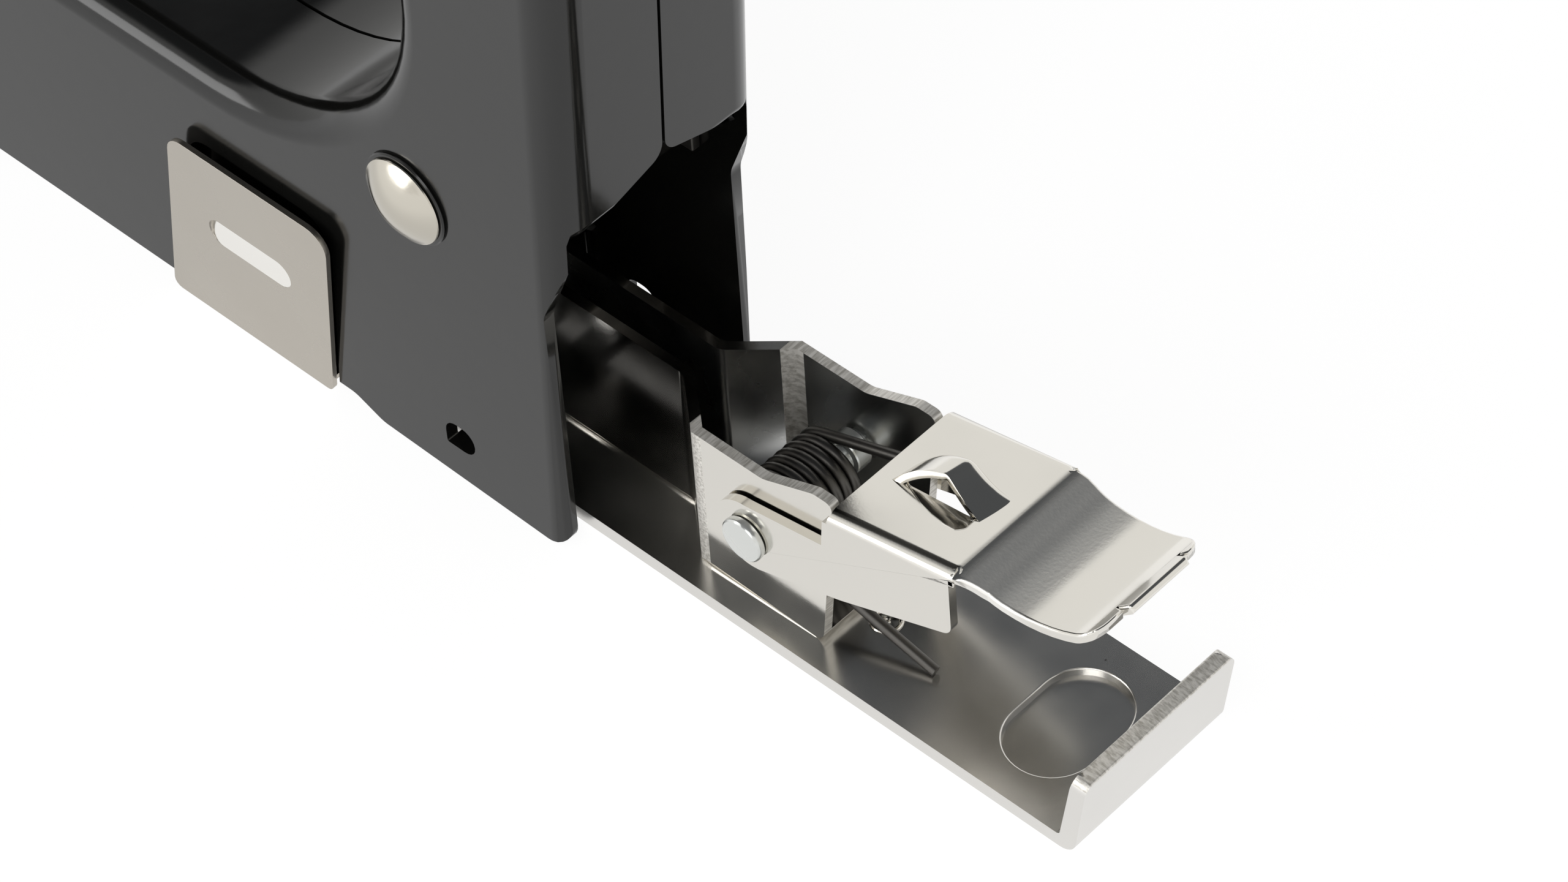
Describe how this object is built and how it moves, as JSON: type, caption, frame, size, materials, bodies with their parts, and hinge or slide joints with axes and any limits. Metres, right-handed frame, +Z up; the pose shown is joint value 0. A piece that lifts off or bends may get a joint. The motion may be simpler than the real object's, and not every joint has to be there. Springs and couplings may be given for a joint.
{
  "type": "hand staple gun",
  "caption": "Hand staple gun of black-painted pressed steel with a squeeze handle, and a nickel-plated magazine that a sprung thumb latch frees to slide out at the rear for loading.",
  "frame": {"origin": "middle of the front plate's lower end, on the work surface, where a staple leaves the nose", "axes": "+X forwards out of the nose end, so the magazine draws out towards -X; +Y to the gun's left side; +Z up from the surface the gun stands on"},
  "size_m": [0.2237, 0.0332, 0.1351],
  "materials": {
    "black_paint": "gloss black enamel",
    "nickel_plate": "bright nickel plate, slightly warm",
    "bare_steel": "plain ground steel",
    "spring_wire": "drawn spring wire with a dull film",
    "staple_zinc": "galvanised wire",
    "grip_plastic": "fine textured black plastic",
    "black_rubber": "matt"
  },
  "bodies": {
    "body": {"left_shell": "black_paint", "right_shell": "black_paint", "body_rivets": "nickel_plate", "rivet_spacers": "bare_steel", "front_plate": "nickel_plate", "front_screws": "nickel_plate", "nose_guide": "bare_steel", "nose_rivet": "nickel_plate", "bumper": "black_rubber", "spring_seat": "bare_steel", "main_spring": "spring_wire", "guide_channel": "black_paint", "side_clip": "nickel_plate", "catch_plate": "black_paint", "handle_pin": "nickel_plate", "pivot_washers": "bare_steel"},
    "handle": {"handle_lever": "nickel_plate", "handle_grip": "grip_plastic", "lift_pin": "bare_steel"},
    "plunger": {"plunger": "bare_steel", "lift_strap": "bare_steel", "driver_blade": "bare_steel", "blade_pin": "bare_steel"},
    "magazine": {"base_plate": "nickel_plate", "plate_rivets": "nickel_plate", "staple_rail": "nickel_plate", "hinge_pin": "nickel_plate", "latch_spring": "spring_wire", "pusher_rod": "bare_steel", "pusher_spring": "spring_wire", "staple_strip": "staple_zinc"},
    "latch": {"latch_lever": "nickel_plate"},
    "pusher": {"pusher": "bare_steel"}
  },
  "joints": [
    {"name": "handle_squeeze", "type": "hinge", "parent": "body", "child": "handle", "pos_m": [-0.0691, 0, 0.092], "axis": [0, 1, 0], "range_deg": [-21.53, 0], "stiffness_Nm_per_rad": 2, "springref_deg": 20.05},
    {"name": "plunger_lift", "type": "slide", "parent": "body", "child": "plunger", "axis": [0, 0, 1], "range_m": [0, 0.017], "deforming": ["main_spring"]},
    {"name": "magazine_slide", "type": "slide", "parent": "body", "child": "magazine", "axis": [1, 0, 0], "range_m": [-0.008, 0.058]},
    {"name": "latch_press", "type": "hinge", "parent": "magazine", "child": "latch", "pos_m": [-0.1759, 0, 0.0145], "axis": [0, 1, 0], "range_deg": [-10, 0], "stiffness_Nm_per_rad": 0.05, "springref_deg": 28.65, "deforming": ["latch_spring"]},
    {"name": "pusher_slide", "type": "slide", "parent": "magazine", "child": "pusher", "axis": [1, 0, 0], "range_m": [-0.016, 0], "stiffness_N_per_m": 30, "springref_m": 0.02, "deforming": ["pusher_spring"]}
  ],
  "couplings": [
    {"joint": "plunger_lift", "follows": "handle_squeeze", "m_per_rad": -0.045233}
  ]
}
